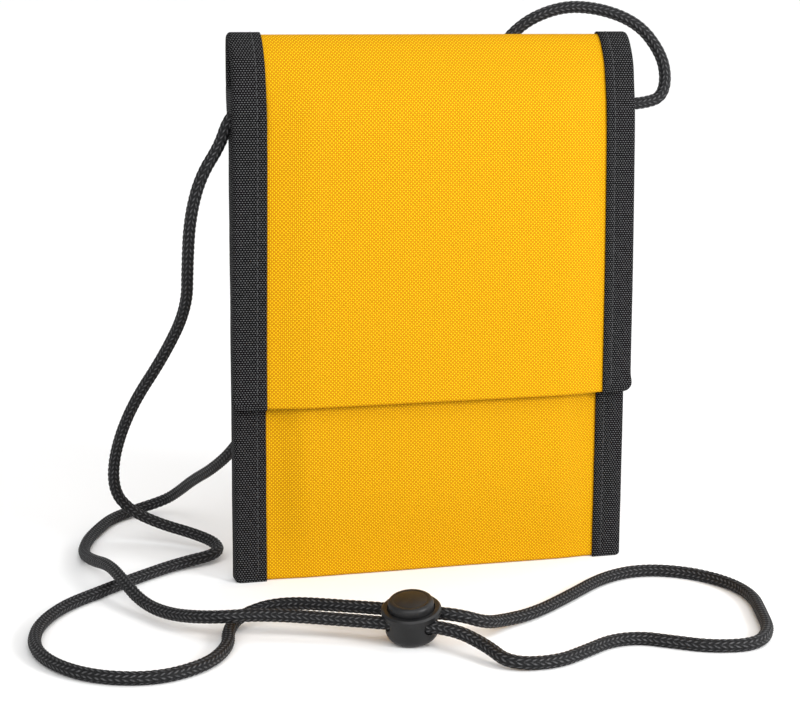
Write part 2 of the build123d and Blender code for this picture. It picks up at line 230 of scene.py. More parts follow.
def outer_fabric():
    """Plain yellow weave, with painted orange shade between its yarns and painted light on their
    tops.
    """
    n = Nodes("outer_fabric", 0.7, specular=0.08)
    height = weave(n, 0.65)
    _, _, flat = n.uv()
    patch = n.noise(flat, 0.045)
    yarn = n.noise(flat, 2.2, 2.0)
    # the tone follows the weave's height: painted shade in the gaps, painted light on the yarn
    # tops; the yarn noise adds random tone
    tone = n.math("MULTIPLY_ADD", yarn, 0.30, n.math("MULTIPLY", height, 0.85))
    colour = n.ramp(tone, [(0.18, (0.31, 0.108, 0.0)), (0.5, (0.56, 0.268, 0.0002)),
                           (0.88, (0.75, 0.49, 0.006))])
    colour = n.mix(n.math("MULTIPLY", patch, 0.12), colour, (0.45, 0.18, 0.0))
    return n.finish(colour, n.bump(height, 0.16 * MM, 0.7))


def lining_fabric():
    """Thin black plain weave, with painted shade between its yarns."""
    n = Nodes("lining_fabric", 0.6, specular=0.12)
    height = weave(n, 0.34)
    _, _, flat = n.uv()
    # the tone follows the weave's height: painted shade in the gaps and lighter yarn tops, with
    # random tone from the noise
    colour = n.ramp(n.math("MULTIPLY_ADD", n.noise(flat, 1.1), 0.3, height),
                    [(0.1, (0.004, 0.004, 0.0045)), (1.0, (0.022, 0.022, 0.024))])
    return n.finish(colour, n.bump(height, 0.07 * MM, 0.7))


def binding_tape():
    """Ribbed tape: rows of raised dots, each row half a dot along from the last, with painted
    highlights on the dots.
    """
    n = Nodes("binding_tape", 0.75, specular=0.05)
    dot_width, row_height = 1.0, 0.76
    u, v, flat = n.uv()
    row = n.math("DIVIDE", v, row_height)
    column = n.math("DIVIDE", u, dot_width)
    odd = n.math("MODULO", n.math("ABSOLUTE", n.math("FLOOR", row)), 2.0)
    shift = n.math("MULTIPLY", odd, 0.5)
    dots = n.math("MULTIPLY", hump(n, row), hump(n, n.math("ADD", column, shift)))
    rib = n.math("MULTIPLY", hump(n, row), 0.45)
    height = n.math("ADD", n.math("POWER", dots, 1.5), rib)
    wear = n.noise(flat, 0.6)
    # the tone rises with the dots' and ribs' height: painted highlights on the raised dots and
    # painted shade between them, with random tone from the wear noise
    tone = n.math("MULTIPLY_ADD", wear, 0.35, n.math("MULTIPLY", height, 0.62))
    colour = n.ramp(tone, [(0.34, (0.0008, 0.0008, 0.001)), (0.64, (0.003, 0.003, 0.0033)),
                           (0.94, (0.10, 0.10, 0.103))])
    return n.finish(colour, n.bump(height, 0.22 * MM, 0.8))


def pile(name, scale, dark, light):
    """Loop or hook face of the touch fastener, with painted shade between its tufts."""
    n = Nodes(name, 0.85, sheen=0.3, specular=0.25)
    place = n.place()
    cells = n.tree.nodes.new("ShaderNodeTexVoronoi")
    n.plug(place, cells.inputs["Vector"])
    cells.inputs["Scale"].default_value = scale
    height = n.math("SUBTRACT", 1.0, cells.outputs["Distance"])
    fluff = n.noise(place, scale * 1.7)
    # the tone rises towards the cells' middles: painted shade between the tufts, with random tone
    # from the fluff noise
    tone = n.math("MULTIPLY_ADD", fluff, 0.6, n.math("MULTIPLY", height, 0.5))
    colour = n.ramp(tone, [(0.3, dark), (0.95, light)])
    return n.finish(colour, n.bump(tone, 0.5 * MM, 0.8))


def stitch_thread():
    """Black sewing thread."""
    n = Nodes("stitch_thread", 0.5, sheen=0.1)
    twist = n.noise(n.place(), 2600)
    colour = n.ramp(twist, [(0.3, (0.010, 0.010, 0.011)), (0.8, (0.055, 0.055, 0.06))])
    return n.finish(colour, n.bump(twist, 0.06 * MM, 0.6))


def cord_braid():
    """Braid of fine filaments with painted highlights on its plaits; the plaits themselves are in
    the mesh.
    """
    n = Nodes("cord_braid", 0.6, specular=0.2)
    u, v, _ = n.uv()
    speck = n.noise(n.place(), 1500)
    plait = n.math("MULTIPLY", n.math("POWER", hump(n, v), 0.8),
                   n.math("POWER", hump(n, u), 0.5))
    # the tone rises towards each plait's crest: painted highlights on the plaits and painted shade
    # between them, with random tone from the specks
    tone = n.math("MULTIPLY_ADD", plait, 0.6, n.math("MULTIPLY", speck, 0.5))
    colour = n.ramp(tone, [(0.35, (0.002, 0.002, 0.0025)), (0.68, (0.008, 0.008, 0.009)),
                           (0.88, (0.08, 0.08, 0.083))])
    return n.finish(colour, n.bump(n.math("MULTIPLY_ADD", plait, 0.8, speck), 0.15 * MM, 0.7))


def lock_plastic():
    """Fine matt moulding with soft mottling."""
    n = Nodes("lock_plastic", 0.45, specular=0.30)
    place = n.place()
    grain = n.noise(place, 4200, 4.0)
    mottle = n.noise(place, 260)
    colour = n.ramp(mottle, [(0.35, (0.007, 0.007, 0.0075)), (0.7, (0.012, 0.012, 0.0125))])
    rough = n.math("MULTIPLY_ADD", mottle, 0.14, 0.36)
    return n.finish(colour, n.bump(grain, 0.03 * MM, 0.5), rough)


def spring_steel():
    """Plain drawn wire."""
    n = Nodes("spring_steel", 0.32, metallic=1.0)
    draw = n.noise(n.place(), 3000)
    colour = n.ramp(draw, [(0.3, (0.42, 0.42, 0.44)), (0.8, (0.68, 0.68, 0.7))])
    return n.finish(colour, n.bump(draw, 0.02 * MM, 0.4))


MATERIALS = {
    "outer_fabric": outer_fabric(),
    "lining_fabric": lining_fabric(),
    "binding_tape": binding_tape(),
    "loop_pile": pile("loop_pile", 1500, (0.004, 0.004, 0.005), (0.06, 0.06, 0.065)),
    "hook_pile": pile("hook_pile", 900, (0.006, 0.006, 0.007), (0.05, 0.05, 0.055)),
    "stitch_thread": stitch_thread(),
    "cord_braid": cord_braid(),
    "lock_plastic": lock_plastic(),
    "spring_steel": spring_steel(),
}


# ---- mesh helpers -------------------------------------------------------------------
def add_piece(name, points, faces, uvs, material):
    """Link a smooth mesh object; uvs has one pair for each vertex.

    Its one slot holds the material of that name.
    """
    mesh = bpy.data.meshes.new(name)
    mesh.from_pydata(np.asarray(points, float).tolist(), [], faces)
    mesh.validate(clean_customdata=False)
    layer = mesh.uv_layers.new(name="UVMap")
    corner = np.zeros(len(mesh.loops), np.int32)
    mesh.loops.foreach_get("vertex_index", corner)
    layer.data.foreach_set("uv", np.asarray(uvs, np.float32)[corner].ravel())
    mesh.polygons.foreach_set("use_smooth", np.ones(len(mesh.polygons), bool))
    mesh.materials.append(MATERIALS[material])
    mesh.update()
    piece = link(bpy.data.objects.new(name, mesh))
    return piece


def unit(v):
    return v / np.maximum(np.linalg.norm(v, axis=-1, keepdims=True), 1e-12)


def lengths(path):
    """Distance along a line of points, at each of them."""
    steps = np.linalg.norm(np.diff(path, axis=0), axis=1)
    return np.concatenate([[0], np.cumsum(steps)])


def at_lengths(at, length, path):
    """Points of a line at the given distances along it."""
    return np.stack([np.interp(at, length, column) for column in path.T], 1)


def grid_normals(grid):
    """Unit normals of a rows x columns x 3 grid."""
    down = np.gradient(grid, axis=0)
    side = np.gradient(grid, axis=1)
    return unit(np.cross(side, down))


def grid_faces(rows, cols, start=0, flip=False):
    """Quads of a grid whose vertices are numbered by rows."""
    r, c = np.meshgrid(np.arange(rows - 1), np.arange(cols - 1), indexing="ij")
    a = (start + r * cols + c).ravel()
    quads = np.stack([a, a + 1, a + cols + 1, a + cols], 1)
    return (quads[:, ::-1] if flip else quads).tolist()


def cloth(name, outer, thickness, material, facing):
    """Closed sheet of cloth, with a rounded rim, under a grid of points on its outer face.

    facing is a direction that the outer face looks along near the middle of the grid.
    """
    rows, cols = outer.shape[:2]
    normals = grid_normals(outer)
    flip = float(normals[rows // 2, cols // 2] @ np.array(facing)) < 0
    if flip:
        normals = -normals
    inner = outer - normals * thickness
    count = rows * cols
    rim = [(0, c) for c in range(cols)]
    rim += [(r, cols - 1) for r in range(1, rows)]
    rim += [(rows - 1, c) for c in range(cols - 2, -1, -1)]
    rim += [(r, 0) for r in range(rows - 2, 0, -1)]
    index = np.array([r * cols + c for r, c in rim])
    away = []
    for r, c in rim:
        near = outer[min(max(r, 1), rows - 2), min(max(c, 1), cols - 2)]
        away.append(outer[r, c] - near)
    flat_outer = outer.reshape(-1, 3)
    flat_inner = inner.reshape(-1, 3)
    edge = (flat_outer[index] + flat_inner[index]) / 2 + unit(np.array(away)) * thickness * 0.35
    points = np.concatenate([flat_outer, flat_inner, edge])
    u, v = lengths(outer[rows // 2]), lengths(outer[:, cols // 2])
    uv = np.stack(np.meshgrid(u, v), -1).reshape(-1, 2) / MM
    uvs = np.concatenate([uv, uv, uv[index]])
    faces = grid_faces(rows, cols, 0, flip) + grid_faces(rows, cols, count, not flip)
    n = len(rim)
    for k in range(n):
        a, b = int(index[k]), int(index[(k + 1) % n])
        ea, eb = 2 * count + k, 2 * count + (k + 1) % n
        top = [a, b, eb, ea]
        low = [ea, eb, count + b, count + a]
        faces.append(top[::-1] if not flip else top)
        faces.append(low[::-1] if not flip else low)
    return add_piece(name, points, faces, uvs, material)


def tube_faces(stations, count, start=0):
    """Faces of a capped tube through rings of points that are numbered ring by ring."""
    s, k = np.meshgrid(np.arange(stations - 1), np.arange(count), indexing="ij")
    a = (start + s * count + k).ravel()
    b = (start + s * count + (k + 1) % count).ravel()
    faces = np.stack([a, b, b + count, a + count], 1).tolist()
    faces.append([start + k for k in range(count)][::-1])
    faces.append([start + (stations - 1) * count + k for k in range(count)])
    return faces


def swept(name, rings, v, material, profile_u):
    """Closed solid through rings of points (stations x points x 3), with its ends capped."""
    stations, count = rings.shape[:2]
    uvs = np.stack([np.tile(profile_u, stations), np.repeat(v, count)], 1) / MM
    piece = add_piece(name, rings.reshape(-1, 3), tube_faces(stations, count), uvs, material)
    mesh = bmesh.new()
    mesh.from_mesh(piece.data)
    bmesh.ops.recalc_face_normals(mesh, faces=mesh.faces)
    mesh.to_mesh(piece.data)
    mesh.free()
    return piece


def smoothstep(a, b, x):
    """0 before a and 1 after b, eased between."""
    t = np.clip((np.asarray(x, float) - a) / (b - a), 0, 1)
    return t * t * (3 - 2 * t)


def ripple(x, z, seed, scale):
    """Gentle unevenness of cloth, from -1 to 1."""
    return np.array([noise.noise(Vector((a * scale, seed, b * scale)))
                     for a, b in zip(np.ravel(x), np.ravel(z))]).reshape(np.shape(x))


def stitches(name, path, normals, pitch=seam_pitch):
    """Row of lockstitches: short threads that dip into the tape at both ends."""
    length = lengths(path)
    thread, first, last = 0.3 * MM, 0.08, 0.92
    sides, steps = 6, 5
    points, faces = [], []
    for k in range(int(length[-1] / pitch)):
        at = np.linspace(k + first, k + last, steps) * pitch
        line = at_lengths(at, length, path)
        up = unit(at_lengths(at, length, normals))
        along = unit(np.gradient(line, axis=0))
        across = np.cross(along, up)
        lift = np.sin(np.linspace(0, math.pi, steps)) ** 0.6 * thread - thread * 0.45
        faces += tube_faces(steps, sides, start=len(points) * sides)
        angle = np.arange(sides) * 2 * math.pi / sides
        for step in range(steps):
            points.append(line[step] + up[step] * lift[step]
                          + np.outer(np.cos(angle), across[step]) * thread * 0.5
                          + np.outer(np.sin(angle), up[step]) * thread * 0.4)
    points = np.concatenate(points)
    return add_piece(name, points, faces, points[:, :2] / MM, "stitch_thread")


# ---- shapes of the pouch --------------------------------------------------------------
belly_start, belly_end = 0.034, 0.154      # heights where the swelling is full, and ends
ramp_in, ramp_out = 0.046, 0.0605          # from the middle: where it starts to thin, and the seam


def wall_depth(side, x, z):
    """Middle plane to the outside of a wall; side is -1 for the front."""
    belly = front_half if side < 0 else back_half
    neck = belly - 0.4 * MM
    full = base_half + (belly - base_half) * smoothstep(-0.004, belly_start, z) ** 0.8
    full = full + (neck - belly) * smoothstep(belly_end, back_top, z)
    seam = seam_half * np.ones_like(full)
    if side > 0:
        seam = seam + (neck - seam_half) * smoothstep(0.150, back_top, z)
    share = 1 - smoothstep(ramp_in, ramp_out, np.abs(x))
    uneven = (ripple(x, z, 3.1 + side, 34.0) * 0.45 * MM
              + ripple(x, z, 7.7 + side, 90.0) * 0.12 * MM)
    return seam + (full - seam) * share + uneven * share


def wall_grid(side, bottom, top, inset, cols=97, rows=120):
    """Grid on a wall, inset from its outer face."""
    x = np.linspace(-wall_half, wall_half, cols)
    z = np.linspace(bottom, top, rows)
    xs, zs = np.meshgrid(x, z)
    depth = wall_depth(side, xs, zs) - inset
    return np.stack([xs, middle_y + side * depth, zs], -1)


def make_walls():
    """Outer fabric of the front with its bottom fold, and of the back."""
    fold, lift, spare = 1.6 * MM, 0.02 * MM, 1.5 * MM
    front = wall_grid(-1, fold, front_top, 0)
    low = front[0]
    reach = 2 * np.minimum(base_half, middle_y - low[:, 1]) - spare
    under = []
    # the flat under the pouch, from the back to the fold
    for share in np.linspace(1, 0.12, 12):
        row = low.copy()
        row[:, 1] = low[:, 1] + fold + (reach - fold) * share
        row[:, 2] = lift
        under.append(row)
    # the rounded turn up to the front
    for angle in np.linspace(-0.5 * math.pi, 0, 9)[:-1]:
        row = low.copy()
        row[:, 1] = low[:, 1] + fold * (1 - math.cos(angle))
        row[:, 2] = fold * (1 + math.sin(angle)) + lift
        under.append(row)
    front = np.concatenate([np.array(under), front])
    shell = cloth("pouch_front", front, shell_t, "outer_fabric", (0, -1, 0))
    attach(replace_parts(shell, "front_panel"), "pouch")
    back = wall_grid(1, 1.0 * MM, back_top, 0)
    shell = cloth("pouch_back", back, shell_t, "outer_fabric", (0, 1, 0))
    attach(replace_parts(shell, "back_panel"), "pouch")


def make_inside():
    """Linings, the divider and the card pocket."""
    inset = shell_t + sheet_ease
    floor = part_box("front_lining")[0].z
    for side, node, top in ((-1, "front_lining", front_top), (1, "back_lining", back_top)):
        grid = wall_grid(side, floor, top - 0.5 * MM, inset, 65, 80)
        piece = cloth(f"{node}_cloth", grid, lining_t, "lining_fabric", (0, side, 0))
        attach(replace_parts(piece, node), "pouch")
    for node, waves in (("pocket_divider", 0.25 * MM), ("card_pocket", 0.08 * MM)):
        low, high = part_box(node)
        xs, zs = np.meshgrid(np.linspace(low.x, high.x, 65), np.linspace(low.z, high.z, 65))
        free = 1 - smoothstep(0.05, 0.068, np.abs(xs))
        y = low.y + ripple(xs, zs, 5.3, 30.0) * waves * free
        piece = cloth(f"{node}_cloth", np.stack([xs, y, zs], -1), high.y - low.y,
                      "lining_fabric", (0, -1, 0))
        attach(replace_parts(piece, node), "pouch")


def tape_profile(width, low, high):
    """Section of a folded tape: an open channel, (distance in from the edge, depth).

    Each face has a shallow groove where the seam pulls it in.
    """
    lip, groove = 0.02 * MM, 0.16 * MM
    face = [(width, 0), (width * 0.74, lip), (width * seam_share, groove), (width * 0.70, lip),
            (width * 0.35, 0)]
    radius = min((high - low) * 0.5, 1.5 * MM)
    turn = [math.pi / 2 * k / 6 for k in range(7)]
    points = [(inward, low + dip) for inward, dip in face]
    points += [(radius * (1 - math.sin(a)), low + radius * (1 - math.cos(a))) for a in turn]
    points += [(radius * (1 - math.cos(a)), high - radius * (1 - math.sin(a))) for a in turn]
    points += [(inward, high - dip) for inward, dip in reversed(face)]
    inner_edge, inner_low, inner_high = tape_t * 1.2, low + tape_t, high - tape_t
    points += [(width, inner_high), (inner_edge, inner_high), (inner_edge, inner_low),
               (width, inner_low)]
    return np.array(points)


def make_body_bindings():
    """Tape folded round each side seam, with its rows of stitches."""
    slack, foot_radius, count = tape_t + tape_gap, 1.1 * MM, 60
    z = np.concatenate([[0.02 * MM, 0.25 * MM, 0.8 * MM, 1.8 * MM],
                        np.linspace(4 * MM, back_top, 90)])
    for side, name in ((-1, "left"), (1, "right")):
        rings = []
        for height in z:
            low = -wall_depth(-1, edge_x, height) - slack
            high = wall_depth(1, edge_x, height) + slack
            profile = tape_profile(body_tape_width, float(low), float(high))
            round_off = max(0.0, foot_radius - height)
            lost = foot_radius - math.sqrt(max(0.0, foot_radius ** 2 - round_off ** 2))
            at_edge = profile[:, 0] < 4 * MM
            inward = np.minimum(profile[:, 0] + lost * at_edge, body_tape_width)
            wobble = 0.12 * MM * noise.noise(Vector((side, 2.0, height * 55)))
            rings.append(np.stack([side * (edge_x - inward + wobble), middle_y + profile[:, 1],
                                   np.full(len(profile), height)], 1))
        piece = swept(f"body_tape_{name}", np.array(rings), z, "binding_tape", lengths(profile))
        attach(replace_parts(piece, f"body_binding_{name}"), "pouch")
        for face, word in ((-1, "front"), (1, "back")):
            heights = np.linspace(3 * MM, back_top - 3 * MM, count)
            depth = wall_depth(face, np.full(count, edge_x), heights) + tape_t + tape_gap
            x = np.full(count, side * (edge_x - body_tape_width * seam_share))
            line = np.stack([x, middle_y + face * (depth - 0.1 * MM), heights], 1)
            out = np.tile([0.0, face, 0.0], (count, 1))
            row = stitches(f"body_stitches_{name}_{word}", line, out)
            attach(row, "pouch")


# ---- shapes of the flap ---------------------------------------------------------------
flap_mid = (flap_face + flap_back) / 2
edge_drop = 4.0 * MM


def bow(x):
    """How far the flap curves back towards the side seams, clear of the hook strip."""
    flat_to, full_at = 0.044, 0.071
    return edge_drop * smoothstep(flat_to, full_at, np.abs(x))


def narrow(z):
    """The flap draws in a little towards the top, where it turns over."""
    return 1 - (0.5 + 1.0 * smoothstep(flap_low, crown_z, z)) * MM / flap_edge


def spline(points, count):
    """Smooth line through the middles of a list of (y, z) corners."""
    points = np.array(points, float)
    knots = [points[0]]
    for a, b in zip(points[1:-1], points[2:-1]):
        knots.append((a + b) / 2)
    knots.append(points[-1])
    line = []
    for k, corner in enumerate(points[1:-1]):
        for t in np.linspace(0, 1, 24, endpoint=k == len(points) - 3):
            line.append((1 - t) ** 2 * knots[k] + 2 * t * (1 - t) * corner + t * t * knots[k + 1])
    line = np.array(line)
    length = lengths(line)
    return at_lengths(np.linspace(0, length[-1], count), length, line)


def flap_line(x, count, leg=0.0):
    """Middle line of the flap's cloth at one x: up the back, over and down to the hem.

    leg is how far the line starts below the back wall's top edge, down the back.
    """
    back = fold_back - flap_t / 2
    top = crown_z - flap_t / 2 - crown_drop
    front = flap_mid + float(bow(x))
    corners = [(back, back_top - 1.5 * MM)]
    if leg > 0:
        tuck = back_half - float(wall_depth(1, edge_x, back_top - leg))
        corners = [(back - tuck, back_top - leg), (back - 0.1 * tuck, back_top - 0.3 * leg)]
    # up the back and over the fold
    corners += [(back, top - 3.5 * MM), (back - 0.6 * MM, top + 1.2 * MM),
                (back - 4.5 * MM, top + 0.2 * MM), (back - 9.5 * MM, top - 8 * MM)]
    # the slope down to the front, then the hanging flap
    corners += [(front + 0.35 * (back - front) - 2.4 * MM, back_top + 1 * MM),
                (front + 0.4 * MM, flap_top + 4 * MM), (front, flap_top - 12 * MM),
                (front - 0.2 * MM, (flap_top + flap_low) / 2),
                (front + 0.2 * MM, flap_low + 14 * MM), (front, flap_low)]
    return spline(corners, count)


def outward(line):
    """Unit directions away from the pouch, square to a (y, z) line that starts at the back."""
    along = unit(np.gradient(line, axis=0))
    out = np.stack([along[:, 1], -along[:, 0]], 1)
    return out if out[0, 0] > 0 else -out


def flap_surface(x_values, count, offset):
    """Grid on the flap, offset outwards from the cloth's middle; rows run along the cloth."""
    columns = []
    for x in x_values:
        line = flap_line(x, count)
        shifted = line + outward(line) * offset
        columns.append(np.stack([np.full(count, x), shifted[:, 0], shifted[:, 1]], 1))
    grid = np.stack(columns, 1)
    # the ripples fade under the tapes and towards the fold
    inside = 1 - smoothstep(0.055, 0.066, np.abs(grid[:, :, 0]))
    hang = 1 - smoothstep(0.150, 0.175, grid[:, :, 2])
    wave = ripple(grid[:, :, 0], grid[:, :, 2], 11.3, 26.0) * 0.35 * MM
    grid[:, :, 1] += wave * inside * hang
    grid[:, :, 0] *= narrow(grid[:, :, 2])
    return grid


def across_joint(piece):
    """Bake the piece's placement into its mesh; it is attached to neither body."""
    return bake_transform(piece)


def make_flap_cloth():
    """Outer fabric of the flap with its folded hem, and the lining inside it."""
    rows, hem_height = 190, 10.2 * MM
    half = flap_edge - 2.6 * MM
    grid = flap_surface(np.linspace(-half, half, 97), rows, flap_t / 2)
    # the cloth draws in under the tapes where it turns over
    tuck = smoothstep(flap_top - 12 * MM, flap_top + 2 * MM, grid[:, :, 2])
    hidden = np.maximum(np.abs(grid[:, :, 0]) - 60 * MM, 0)
    grid[:, :, 0] -= np.sign(grid[:, :, 0]) * hidden * 0.6 * tuck
    shell = cloth("flap_cloth", grid, shell_t, "outer_fabric", (0, -1, 0))
    across_joint(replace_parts(shell, "flap_panel", "flap_fold"))
    length = lengths(flap_line(0.0, 400))[-1]

    x = np.linspace(-flap_edge + 5 * MM, flap_edge - 5 * MM, 89)
    inner = flap_surface(x, rows, flap_t / 2 - shell_t - 0.1 * MM)
    centre = inner[:, len(x) // 2]
    hanging = centre[:, 1] < 0
    top = int(np.argmax(hanging & (centre[:, 2] < flap_top)))
    start = int(np.argmax(hanging & (centre[:, 2] < flap_low + hem_height)))
    piece = cloth("flap_lining_cloth", inner[top:start], lining_t, "lining_fabric", (0, -1, 0))
    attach(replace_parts(piece, "flap_lining"), "flap")
    hem = cloth("flap_hem", inner[start:], 0.5 * MM, "outer_fabric", (0, -1, 0))
    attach(hem, "flap")


def flap_tape_rings(side, profile):
    """Sections of one flap tape, with a rounded lower corner and a leg down the back."""
    columns = []
    for inward, depth in profile:
        x = side * (flap_edge - inward)
        line = flap_line(x, 230, leg=18 * MM)
        line = np.concatenate([line, line[-1:] - [[0, 0.3 * MM]], line[-1:] - [[0, 0.6 * MM]]])
        shifted = line - outward(line) * depth
        columns.append(np.stack([np.full(len(line), x), shifted[:, 0], shifted[:, 1]], 1))
    rings = np.stack(columns, 1)
    radius = 2.5 * MM
    left = rings[:, :, 2] - (flap_low - 0.6 * MM)
    hanging = rings[:, :, 1] < 0
    need = np.where(hanging, np.clip(radius - left, 0, radius), 0)
    lost = radius - np.sqrt(radius ** 2 - need ** 2)
    near_edge = np.clip((np.abs(rings[:, :, 0]) - flap_edge + 6 * MM) / (3 * MM), 0, 1)
    # the tape spreads a little just above the corner
    spread = np.exp(-((left - 3 * MM) / (2.2 * MM)) ** 2) * 0.5 * MM
    rings[:, :, 0] += side * hanging * spread * near_edge
    rings[:, :, 0] -= side * lost * near_edge
    leg = smoothstep(back_top + 6 * MM, back_top - 18 * MM, rings[:, :, 2])
    leg = np.where(rings[:, :, 1] > 4 * MM, leg, 0)
    rings[:, :, 0] -= side * leg * 0.5 * MM * near_edge
    rings[:, :, 0] *= narrow(rings[:, :, 2])
    return rings


def make_flap_tapes():
    """Tape round each side of the flap, from the back wall over the top to the hem."""
    slack = tape_t + tape_gap
    inner_slack = tape_t + 0.3 * MM
    count = 300
    profile = tape_profile(flap_tape_width, -flap_t / 2 - slack, flap_t / 2 + inner_slack)
    for side, name in ((-1, "left"), (1, "right")):
        rings = flap_tape_rings(side, profile)
        v = lengths(rings[:, 0])
        seam = int(np.argmax(rings[:, 0, 2] > back_top - 1.5 * MM))
        piece = swept(f"flap_tape_{name}", rings[seam:], v[seam:], "binding_tape",
                      lengths(profile))
        across_joint(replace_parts(piece, f"flap_binding_{name}", f"fold_binding_{name}"))
        leg = swept(f"flap_tape_leg_{name}", rings[:seam + 1], v[:seam + 1], "binding_tape",
                    lengths(profile))
        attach(leg, "pouch")
        x = side * (flap_edge - flap_tape_width * seam_share)
        for sign, word in ((1, "outside"), (-1, "inside")):
            line = flap_line(x, count)
            out = outward(line) * sign
            lift = slack if sign > 0 else inner_slack
            seat = line + out * (flap_t / 2 + lift - 0.1 * MM)
            path = np.stack([x * narrow(seat[:, 1]), seat[:, 0], seat[:, 1]], 1)
            normals = np.stack([np.zeros(count), out[:, 0], out[:, 1]], 1)
            across_joint(stitches(f"flap_stitches_{name}_{word}", path, normals))


def make_mouth_binding():
    """Tape folded over the top edge of the front wall, with one row of stitches."""
    low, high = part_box("mouth_binding")
    count, bend, steps = 80, 0.9 * MM, 8
    x = np.linspace(low.x, high.x, count)
    top = front_top + tape_gap + tape_t
    roof = top - 1.2 * MM
    rings = []
    for value in x:
        outside = -wall_depth(-1, value, front_top - 4 * MM) - tape_t - tape_gap
        inside = outside + shell_t + lining_t + 2 * tape_t + 0.3 * MM + 2 * tape_gap
        section = [(outside, low.z), (outside, top - bend)]
        for k in range(1, steps):
            a = math.pi * k / steps
            section.append(((outside + inside) / 2 - (inside - outside) / 2 * math.cos(a),
                            top - bend + bend * math.sin(a)))
        section += [(inside, top - bend), (inside, low.z), (inside - tape_t, low.z),
                    (inside - tape_t, roof), (outside + tape_t, roof), (outside + tape_t, low.z)]
        section = np.array([(float(a), b) for a, b in section])
        rings.append(np.stack([np.full(len(section), value), middle_y + section[:, 0],
                               section[:, 1]], 1))
    piece = swept("mouth_tape", np.array(rings), x - x[0], "binding_tape", lengths(section))
    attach(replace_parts(piece, "mouth_binding"), "pouch")
    depth = wall_depth(-1, x, np.full(count, front_top - 4 * MM)) + tape_t
    line = np.stack([x, middle_y - depth, np.full(count, low.z + 2.0 * MM)], 1)
    row = stitches("mouth_stitches", line, np.tile([0.0, -1.0, 0.0], (count, 1)))
    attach(row, "pouch")


def make_fastener(node, body, material, facing):
    """Touch fastener strip with a raised pile inside a stitched border."""
    low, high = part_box(node)
    cols, rows, per_side = 181, 45, 40
    sunk, inset = 0.45 * MM, 1.1 * MM
    xs, zs = np.meshgrid(np.linspace(low.x, high.x, cols), np.linspace(low.z, high.z, rows))
    rim = np.minimum(np.minimum(xs - low.x, high.x - xs), np.minimum(zs - low.z, high.z - zs))
    raised = smoothstep(0.8 * MM, 1.7 * MM, rim)
    rng = np.random.default_rng(7)
    tufts = rng.random(xs.shape) * raised
    face, back = (low.y, high.y) if facing < 0 else (high.y, low.y)
    ys = face - facing * sunk + facing * (0.25 * raised + 0.2 * tufts) * MM
    piece = cloth(f"{node}_pile", np.stack([xs, ys, zs], -1), abs(face - back) - 0.5 * MM,
                  material, (0, facing, 0))
    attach(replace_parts(piece, node), body)
    left, right, foot, top = low.x + inset, high.x - inset, low.z + inset, high.z - inset
    corners = [(left, foot), (right, foot), (right, top), (left, top), (left, foot)]
    seat = face - facing * 0.42 * MM
    path = []
    for (ax, az), (bx, bz) in zip(corners, corners[1:]):
        for t in np.linspace(0, 1, per_side, endpoint=False):
            path.append((ax + (bx - ax) * t, seat, az + (bz - az) * t))
    path = np.array(path)
    row = stitches(f"{node}_stitches", path, np.tile([0.0, facing, 0.0], (len(path), 1)),
                   2.4 * MM)
    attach(row, body)


def make_cord_tacks():
    """Dense bar of zigzag stitches over each sewn-in cord end."""
    turns, sides, thread = 26, 6, 0.17
    at = np.linspace(0, 1, turns * 8)
    angle = np.arange(sides) * math.pi / 3
    up = np.array([0.0, 1.0, 0.0])
    lift = seam_half + tape_t + tape_gap + 0.1 * MM
    for name in ("left", "right"):
        low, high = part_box(f"cord_tack_{name}")
        x = low.x + (high.x - low.x) * at
        z = (low.z + high.z) / 2 + (high.z - low.z) * 0.46 * np.sin(at * turns * math.pi)
        wall = float(wall_depth(1, edge_x, (low.z + high.z) / 2))
        line = np.stack([x, np.full_like(x, middle_y + lift + wall - seam_half), z], 1)
        rings = []
        for place, forward in zip(line, unit(np.gradient(line, axis=0))):
            across = np.cross(forward, up)
            rings.append(place + np.outer(np.cos(angle), across) * thread * MM
                         + np.outer(np.sin(angle), up) * thread * MM)
        piece = swept(f"cord_tack_{name}_thread", np.array(rings), at * 60 * MM,
                      "stitch_thread", np.arange(sides) * 0.2 * MM)
        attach(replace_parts(piece, f"cord_tack_{name}"), "pouch")


